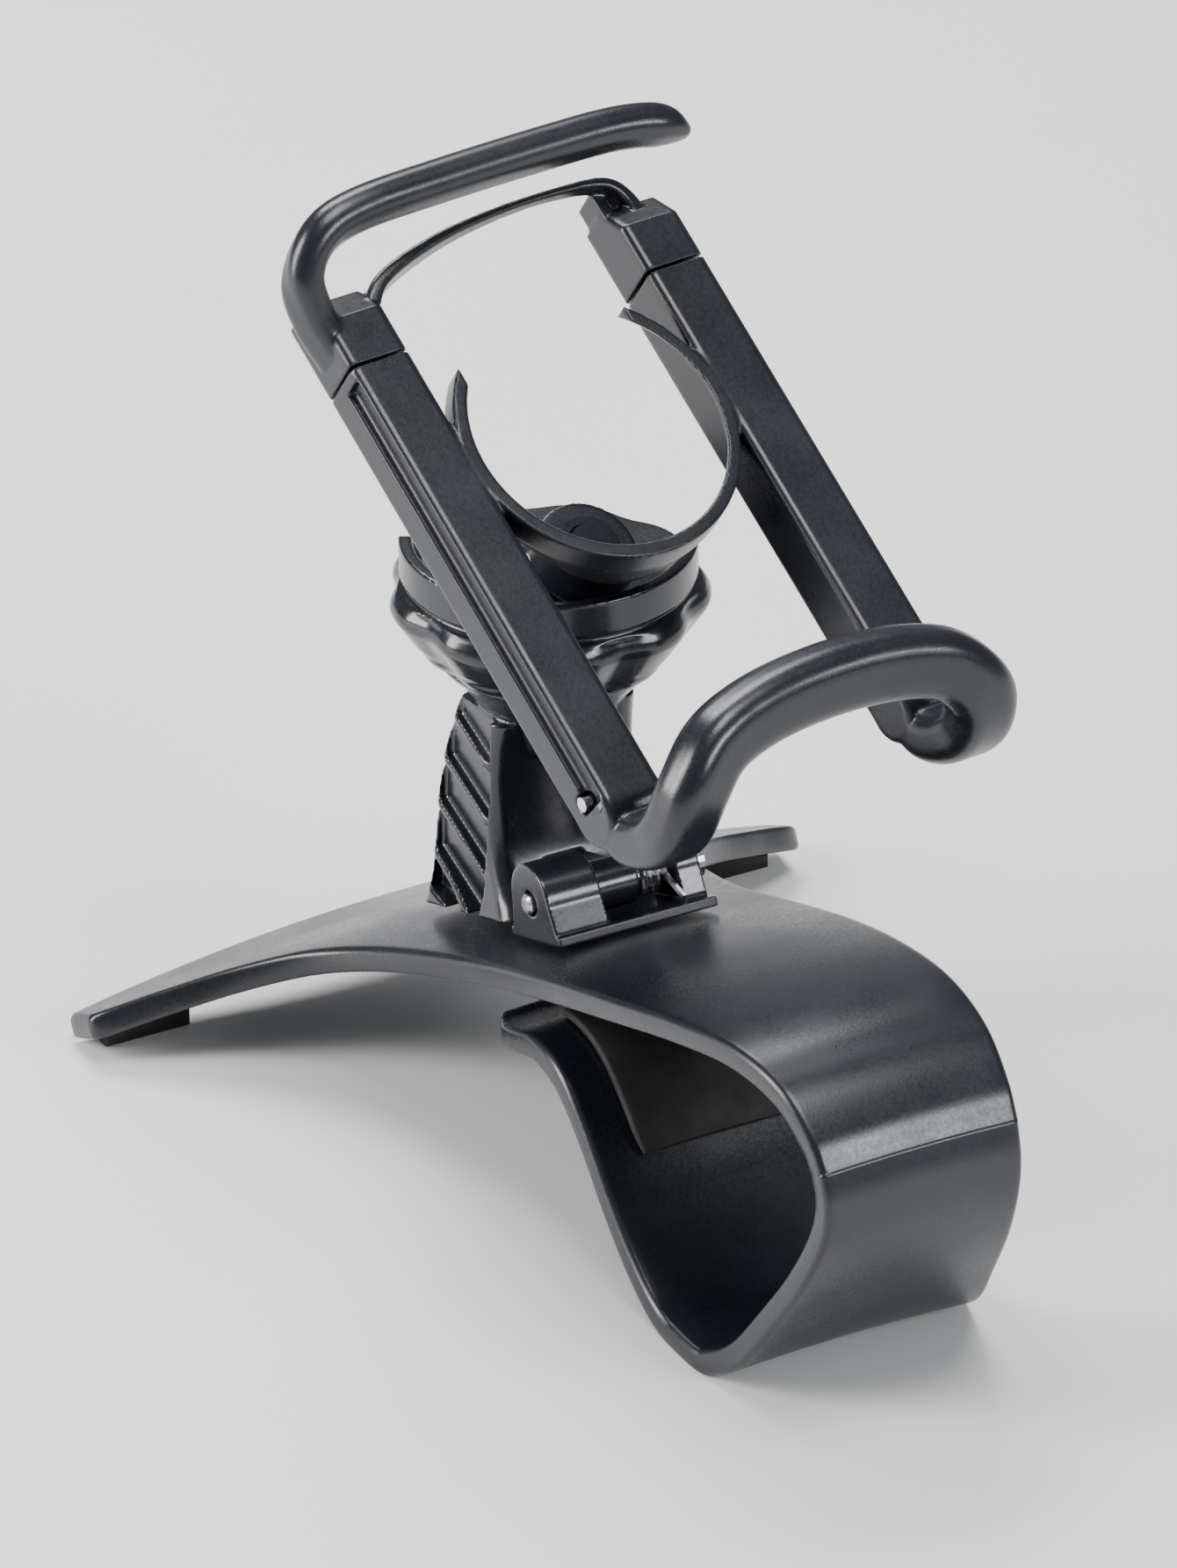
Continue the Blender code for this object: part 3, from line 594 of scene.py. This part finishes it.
def make_band():
    plate = band_points(PLATE_LINE, BAND_SPANS)
    shape = band_shape(pulled_back(plate, 0, -WING_ROUND), band_normals(plate), 64, WING_ROUND, 0.0)
    skin = piece("plate_skin", shape, to_row, looks["satin"], "base", 50.0)
    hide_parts("clip_top_plate")

    jaw = band_points(JAW_LINE, BAND_SPANS)
    shape = band_shape(pulled_back(jaw, -1, TIP_ROUND), band_normals(jaw), 40, 0.0, TIP_ROUND)
    skin = piece("jaw_skin", shape, to_row, looks["satin"])
    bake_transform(skin)
    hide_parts("clip_jaw")
    return plate


plate_stations = make_band()


# ---------------------------------------------------------------- mast and its hinge

def hinge_frame():
    """Origin on the plate under the hinge, X up the slope, Z square to the plate."""
    x = pin_place.x - SHIFT.x
    guess = x - PIN_HEIGHT * 0.35
    coarse = band_points(PLATE_LINE, 3)
    for _ in range(20):
        rise = plate_height(coarse, guess + 6.0) - plate_height(coarse, guess - 6.0)
        slope = math.atan2(rise, 12.0)
        guess = x + PIN_HEIGHT * math.sin(slope)
    place = Matrix.Translation((guess, 0.0, plate_height(coarse, guess)))
    return place @ Matrix.Rotation(-slope, 4, "Y")


def mast_section(rear_x, rear_z, front_x, front_z, half):
    rear, front = Vector((rear_x, 0.0, rear_z)), Vector((front_x, 0.0, front_z))
    run = (front - rear).normalized()
    middle = (rear + front) / 2.0
    return [middle + run * a + Vector((0.0, b, 0.0))
            for a, b in rounded_section((front - rear).length, 2.0 * half, 2.4)]


def make_mast(hinge):
    ball = ball_place - SHIFT
    mast = loft([mast_section(*row) for row in spline(MAST_SECTIONS, 8)])
    pockets = []
    for side in (-1.0, 1.0):
        for i, rear in enumerate(RIB_REAR):
            low = RIB_START[1] + RIB_PITCH * i + RIB_THICK / 2.0
            high = low + RIB_PITCH - RIB_THICK
            outline = [(x, max(z + RIB_SLOPE * (x - RIB_START[0]), RIB_FOOT))
                       for x, z in ((rear, high), (RIB_FRONT, high), (RIB_FRONT, low), (rear, low))]
            pockets.append(prism(outline, *sorted((side * 8.9, side * 13.0))))
    cup = spun([(0, -16.5), (6.5, -16.5), (8.2, -12.0), (10.6, -8.6), (13.6, -5.2), (13.6, -4.7),
                (SOCKET_RADIUS, -4.7), (SOCKET_RADIUS, 0.6), (9.5, 0.6), (9.3, -6.8), (9.3, -9.8),
                (0, -9.8)], 96)
    barrel = along_y(spun([(0, -4.4), (3.1, -4.4), (3.1, 1.4), (0, 1.4)], 48), 0.0, PIN_HEIGHT)
    arm = box((-16.5, -4.1, 3.3), (-0.6, 1.1, 7.5))
    bore = along_y(spun([(0, -8), (PIN_RADIUS + CLEAR, -8), (PIN_RADIUS + CLEAR, 8), (0, 8)], 32),
                   0.0, PIN_HEIGHT)
    foot = [cut(moved(part, hinge), moved(bore, hinge)) for part in (barrel, arm)]
    shape = moulded([cut(mast, *pockets), moved(cup, Matrix.Translation(ball))] + foot, 0.24, 3)
    skin = piece("mast_skin", shape, to_row, looks["gloss"], "mast")
    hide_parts("stem")


def ear_outline(radius, foot, step=5):
    arc = [(radius * math.cos(math.radians(a)), PIN_HEIGHT + radius * math.sin(math.radians(a)))
           for a in range(0, 181, step)]
    return arc + [(-foot, 0.5), (foot, 0.5)]


def make_hinge(hinge):
    shapes = [box((-6.5, -12.0, 0.45), (6.5, 9.4, 1.7))]
    for y0, y1, radius, foot in ((-12.0, -4.7, 4.9, 6.3), (6.2, 9.4, 3.3, 4.4)):
        shapes.append(prism(ear_outline(radius, foot), y0, y1))
    hole = along_y(spun([(0, -20), (PIN_RADIUS + CLEAR, -20), (PIN_RADIUS + CLEAR, 20), (0, 20)], 32),
                   0.0, PIN_HEIGHT)
    shape = moulded([cut(s, hole) for s in shapes], 0.18, 3)
    skin = piece("hinge_skin", shape, to_row @ hinge, looks["gloss"], "base")
    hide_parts("hinge_housing")


hinge_axes = hinge_frame()
make_mast(hinge_axes)
make_hinge(hinge_axes)


# ---------------------------------------------------------------- collar of the ball joint

def raised(angle):
    """How much of the collar's raised side is left at this angle, from 1 in front to 0 behind."""
    away = abs((angle - NUT_FRONT + math.pi) % (2.0 * math.pi) - math.pi)
    return ease((math.radians(112.0) - away) / math.radians(24.0))


def make_nut():
    bore = SOCKET_RADIUS + CLEAR
    outer = [(13.9, -4.4), (15.0, -4.2), (15.7, -3.3), (16.0, -2.6), (16.9, -1.6), (18.6, 0.9),
             (19.3, 2.0), (19.5, 2.8), (19.3, 3.6), (18.8, 4.4), (18.3, 4.9), (17.5, 5.2), (17.5, 5.7),
             (17.9, 5.9), (17.9, NUT_TOP)]
    inner = [(16.4, NUT_TOP), (15.2, 7.6), (12.8, 5.2), (8.1, 4.5), (8.9, 2.4), (9.9, 1.3),
             (bore, 0.9 + CLEAR), (bore, -4.4)]
    steps = NUT_LOBES * 24
    rings = []
    for i in range(steps):
        angle = 2.0 * math.pi * i / steps
        dip = 0.06 * (0.5 + 0.5 * math.cos(NUT_LOBES * angle)) ** 1.6
        keep = raised(angle)
        ring = []
        for depth, profile in ((dip, outer), (0.0, inner)):
            for r, h in profile:
                height = h if h <= NUT_SILL else NUT_SILL + (h - NUT_SILL) * keep
                r *= 1.0 - depth * (1.0 - ease((h - 4.2) / 1.2))
                ring.append((r * math.cos(angle), r * math.sin(angle), height))
        rings.append(ring)
    shape = moulded([closed_rings(rings)], 0.22, 2)
    skin = piece("collar_skin", shape, ball_to_row, looks["gloss"], "nut")
    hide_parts("lock_nut")


make_nut()


# ---------------------------------------------------------------- clamp frame

def mirrored_spans(low, high):
    return (("left", -high, -low), ("right", low, high))


def rail_section(v0, v1):
    middle = (v0 + v1) / 2.0
    return [(middle + a, -RAIL_DEPTH / 2.0 + b) for a, b in rounded_section(v1 - v0, RAIL_DEPTH, 0.9)]


def hook_path():
    half = (RAIL_INNER + RAIL_OUTER) / 2.0
    left = [(44.0, -half, -4.1), (48.6, -half, -3.4), (51.6, -half, 0.6), (52.2, -half, 5.2),
            (50.6, -20.3, 9.8), (47.6, -16.6, 12.4), (45.8, -11.0, 13.2), (44.9, -4.0, 13.4)]
    right = [(u, -v, w) for u, v, w in reversed(left)]
    return spline(left + right, 12)


def neck_rings():
    """Circles from the hub on the stud up to the ring, in u, v, w."""
    hub_u, ring_low = -RING_OFFSET.x, -3.4
    stations = [(HUB_LOW, HUB_RADIUS, hub_u), (FLARE_LOW, HUB_RADIUS, hub_u)]
    steps = 24
    for i in range(1, steps + 1):
        t = i / steps
        stations.append((FLARE_LOW + (ring_low - FLARE_LOW) * t,
                         HUB_RADIUS + (RING_OUTER - HUB_RADIUS) * t ** 0.8, hub_u * (1.0 - t)))
    stations.append((0.0, RING_OUTER, 0.0))
    count = 120
    return [[(centre + radius * math.cos(2.0 * math.pi * k / count),
              radius * math.sin(2.0 * math.pi * k / count), w) for k in range(count)]
            for w, radius, centre in stations]


def relief_body():
    count = 120
    rings = []
    for w in (3.0, HUB_TOP):
        rings.append([(-SIGHT_SLANT[0] * w + RING_BORE * math.cos(2.0 * math.pi * k / count),
                       -SIGHT_SLANT[1] * w + RING_BORE * math.sin(2.0 * math.pi * k / count), w)
                      for k in range(count)])
    return loft(rings)


def make_clamp():
    hole_place = Matrix.Translation((-RING_OFFSET.x, 0.0, 0.0))
    stud_hole = spun([(0, -30), (STUD_RADIUS + CLEAR, -30), (STUD_RADIUS + CLEAR, -10), (0, -10)], 48)
    access = spun([(0, HUB_TOP), (4.3, HUB_TOP), (4.3, -9.0), (0, -9.0)], 48)
    ring = cut(loft(neck_rings()), relief_body(), moved(stud_hole, hole_place),
               moved(access, hole_place), box((-20.0, -12.5, -9.0), (-7.5, 11.5, 3.0)))
    foot, lip = (8.1, 6.4, 2.2), (8.6, 7.2, 3.0)
    hook = sweep(hook_path(), three_sizes(foot, lip, foot), Vector((0.0, 1.0, 0.0)))
    shapes = [ring, hook]
    for side, v0, v1 in mirrored_spans(RAIL_INNER, RAIL_OUTER):
        outline = rail_section(v0, v1)
        rail = loft([[(u, v, w) for v, w in outline] for u in (RAIL_TOP, RAIL_END - END_ROUND)])
        half, middle = (v1 - v0) / 2.0, Matrix.Translation((0.0, (v0 + v1) / 2.0, 0.0))
        end = along_y(spun([(0, -half), (3.6, -half), (4.1, 0.5 - half), (4.1, half - 0.5), (3.6, half),
                            (0, half)], 64), RAIL_END - END_ROUND, -RAIL_DEPTH / 2.0)
        channel = box((RAIL_TOP - 2.0, v0 + RAIL_WALL, -RAIL_DEPTH - 1.0),
                      (CHANNEL_END, v1 - RAIL_WALL, -1.8))
        outer = v0 if side == "left" else v1
        groove = box((RAIL_TOP + 1.5, outer - 1.0, GROOVE_LOW), (GROOVE_END, outer + 1.0, GROOVE_HIGH))
        radius, height = (GROOVE_HIGH - GROOVE_LOW) / 2.0, (GROOVE_HIGH + GROOVE_LOW) / 2.0
        groove_end = along_y(spun([(0, -1.0), (radius, -1.0), (radius, 1.0), (0, 1.0)], 40),
                             GROOVE_END, height)
        pin_hole = along_y(spun([(0, -4), (1.3, -4), (1.3, 4), (0, 4)], 32), PIN_U, -4.3)
        at_wall = Matrix.Translation((0.0, outer, 0.0))
        for shape in (rail, moved(end, middle)):
            shapes.append(cut(shape, channel, groove, moved(groove_end, at_wall), moved(pin_hole, at_wall)))
    skin = piece("clamp_skin", moulded(shapes, 0.26, 3), clamp_to_row, looks["satin"], "clamp")
    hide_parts("clamp_frame")


make_clamp()


# ---------------------------------------------------------------- upper bracket

def bar_path():
    return spline([(-20.0, -23.6, -4.4), (-24.6, -25.7, -1.4), (-28.4, -26.6, 2.6), (-31.4, -23.8, 5.8),
                   (-32.7, -18.0, 7.0), (-33.0, -6.0, 7.2), (-33.0, 8.0, 7.2), (-32.7, 18.0, 7.2),
                   (-31.6, 24.2, 7.0), (-29.6, 28.0, 6.6)], 12)


def bar_size(t):
    """The bar's section: flatter at the foot, round along the top, closing over its free end."""
    foot, middle, tip = (5.8, 3.8, 1.7), (5.8, 4.9, 2.3), (1.6, 1.2, 0.55)
    here, there, local = (foot, middle, t / 0.4) if t < 0.86 else (middle, tip, (t - 0.86) / 0.14)
    local = ease(local) if t < 0.86 else local ** 2.2
    return tuple(a + (b - a) * local for a, b in zip(here, there))


def web_path():
    return spline([(-23.5, -18.4, -3.4), (-27.0, -14.6, -2.4), (-29.4, -6.0, -1.4), (-30.5, 4.0, -1.0),
                   (-30.6, 13.5, -1.2), (-29.9, 19.0, -1.8), (-27.4, 21.4, -3.2), (-24.4, 21.6, -4.2)], 12)


def leg_section(u, drop, v0, v1):
    """The rail's outline at u, with its front face set back by drop."""
    return [(u, v, w - drop if w > -RAIL_DEPTH / 2.0 else w) for v, w in rail_section(v0, v1)]


def make_bracket():
    up = Vector((0.0, 0.0, 1.0))
    bar = sweep(bar_path(), bar_size, up, True)
    web = sweep(web_path(), three_sizes((4.4, 2.0, 0.5), (1.9, 1.0, 0.3), (4.4, 2.0, 0.5)), up, True)
    shapes = [bar, web]
    for side, v0, v1 in mirrored_spans(RAIL_INNER, RAIL_OUTER):
        leg = loft([leg_section(u, drop, v0, v1)
                    for u, drop in ((LEG_TOP, 2.6), (LEG_RIDGE, 0.0), (RAIL_TOP - CLEAR, 0.0))])
        pocket = box((LEG_TOP + 2.5, v0 + RAIL_WALL, -6.8), (RAIL_TOP + 3.0, v1 - RAIL_WALL, -1.9))
        shapes.append(cut(leg, pocket))
    shapes.append(box((-30.0, RAIL_INNER + 0.1, -6.6), (-24.0, RAIL_INNER + 1.7, -2.2)))
    skin = piece("bracket_skin", moulded(shapes, 0.22, 3), clamp_to_row, looks["satin"], "bracket")
    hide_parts("top_bracket")


make_bracket()


# ---------------------------------------------------------------- soft linings

def fading(i, first, last, steps):
    """1 at both ends of a run, easing to 0 within so many steps of them."""
    return (1.0 - min(1.0, (i - first) / steps, (last - i) / steps)) ** 2


def make_jaw_lining():
    first, last, round_end = 92, 116, 0.55
    jaw = band_points(JAW_LINE, BAND_SPANS)
    normals = band_normals(jaw)
    rings = []
    for i in range(first, last + 1):
        inset = round_end * fading(i, first, last, 3.0)
        rings.append(band_ring(jaw[i], normals[i], LINING_WIDTH * jaw[i].z - inset, BAND_THICK + CLEAR,
                               LINING_THICK - inset, 0.5, 24))
    skin = piece("jaw_lining", loft(rings), to_row, looks["rubber"], "jaw", 50.0)
    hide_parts("jaw_pad")


def make_wing_pad(name, low, high):
    """A pad between the table and the underside of a wing, its edges slightly rounded."""
    slices, across, round_edge = 12, 16, 0.3
    rings = []
    for k in range(slices + 1):
        x = WING_PAD_X + WING_PAD_DEEP * k / slices
        inset = round_edge * fading(k, 0, slices, 2.0)
        top = plate_height(plate_stations, x) - BAND_THICK * 1.13 - CLEAR
        row = [low + inset + (high - low - 2.0 * inset) * j / across for j in range(across + 1)]
        ring = [(x, y, inset) for y in row]
        rings.append(ring + [(x, y, top - droop(y) - inset) for y in reversed(row)])
    skin = piece(name + "_skin", loft(rings), to_row, looks["rubber"], "base", 50.0)
    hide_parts(name)


def make_seat():
    """The friction washer: a dish under the ball with rounded outer edges."""
    gap_radius, inner, width, steps = BALL_RADIUS + CLEAR, 3.3, 4.6, 12
    dish = []
    for k in range(steps + 1):
        radius = inner + width * k / steps
        dish.append((radius, -math.sqrt(gap_radius ** 2 - radius ** 2)))
    rim = dish[-1][1]
    edge = [(8.3, rim + 0.1), (8.9, rim - 0.4), (8.9, -9.1), (8.8, -9.3), (8.6, -9.4), (3.5, -9.4),
            (inner, -9.3)]
    skin = piece("seat_lining", turned(edge + dish, 96), ball_to_row, looks["rubber"], "seat", 50.0)
    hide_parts("ball_seat")


make_jaw_lining()
make_wing_pad("wing_pad_left", -WING_PAD_OUTER, -WING_PAD_INNER)
make_wing_pad("wing_pad_right", WING_PAD_INNER, WING_PAD_OUTER)
make_seat()


# ---------------------------------------------------------------- carried-over nodes

def dress(look, *names):
    for name in names:
        mesh = frame["nodes"][name].data
        mesh.materials.clear()
        mesh.materials.append(looks[look])


dress("gloss", "ball_stud", "stud_clip", "left_rail_back", "right_rail_back",
      "left_slide_tongue", "right_slide_tongue")
dress("steel", "hinge_pin", "torsion_spring", "left_spring_pin", "right_spring_pin",
      "left_spring", "right_spring")


# ---------------------------------------------------------------- floor, light and camera

def make_floor():
    points, faces = box((-6000.0, -6000.0, -20.0), (6000.0, 6000.0, -0.05))
    mesh = bpy.data.meshes.new("floor")
    mesh.from_pydata([Vector(p) * MM for p in points], [], faces)
    mesh.materials.append(floor_look("pale_floor"))
    floor = bpy.data.objects.new("floor", mesh)
    bpy.context.scene.collection.objects.link(floor)


def area_light(name, place, target, size, power, colour=(1.0, 1.0, 1.0)):
    data = bpy.data.lights.new(name, "AREA")
    data.shape = "RECTANGLE"
    data.size, data.size_y = size
    data.energy = power
    data.color = colour
    lamp = bpy.data.objects.new(name, data)
    bpy.context.scene.collection.objects.link(lamp)
    lamp.location = place
    lamp.rotation_euler = (Vector(target) - Vector(place)).to_track_quat("-Z", "Y").to_euler()


def make_light():
    world = bpy.data.worlds.new("studio")
    bpy.context.scene.world = world
    world.use_nodes = True
    background = world.node_tree.nodes["Background"]
    background.inputs["Color"].default_value = (0.80, 0.83, 0.88, 1.0)
    background.inputs["Strength"].default_value = 0.30
    middle = (0.0, 0.0, 0.05)
    area_light("key", (-0.35, -0.95, 0.50), middle, (0.35, 0.8), 17.0, (1.0, 0.99, 0.97))
    area_light("bend", (0.97, 0.48, 0.62), (0.06, 0.0, 0.035), (0.6, 0.22), 8.0, (0.96, 0.98, 1.0))
    area_light("top", (-0.75, 0.15, 1.05), middle, (0.7, 0.5), 15.0, (0.97, 0.98, 1.0))
    area_light("wash", (0.25, 0.15, 1.4), middle, (0.6, 0.5), 11.0)


def make_camera():
    azimuth, elevation = math.radians(61.73), math.radians(29.7)
    right = Vector((math.cos(azimuth), math.sin(azimuth), 0.0))
    back = Vector((math.sin(azimuth) * math.cos(elevation), -math.cos(azimuth) * math.cos(elevation),
                   math.sin(elevation)))
    up = back.cross(right)
    place = Vector((0.93105, -0.51137, 0.65985))
    data = bpy.data.cameras.new("camera")
    data.lens = 238.5
    data.sensor_width = 36.0
    data.clip_start = 0.05
    data.clip_end = 50.0
    camera = bpy.data.objects.new("camera", data)
    bpy.context.scene.collection.objects.link(camera)
    camera.matrix_world = Matrix((
        (right.x, up.x, back.x, place.x), (right.y, up.y, back.y, place.y),
        (right.z, up.z, back.z, place.z), (0.0, 0.0, 0.0, 1.0)))
    bpy.context.scene.camera = camera


make_floor()
make_light()
make_camera()
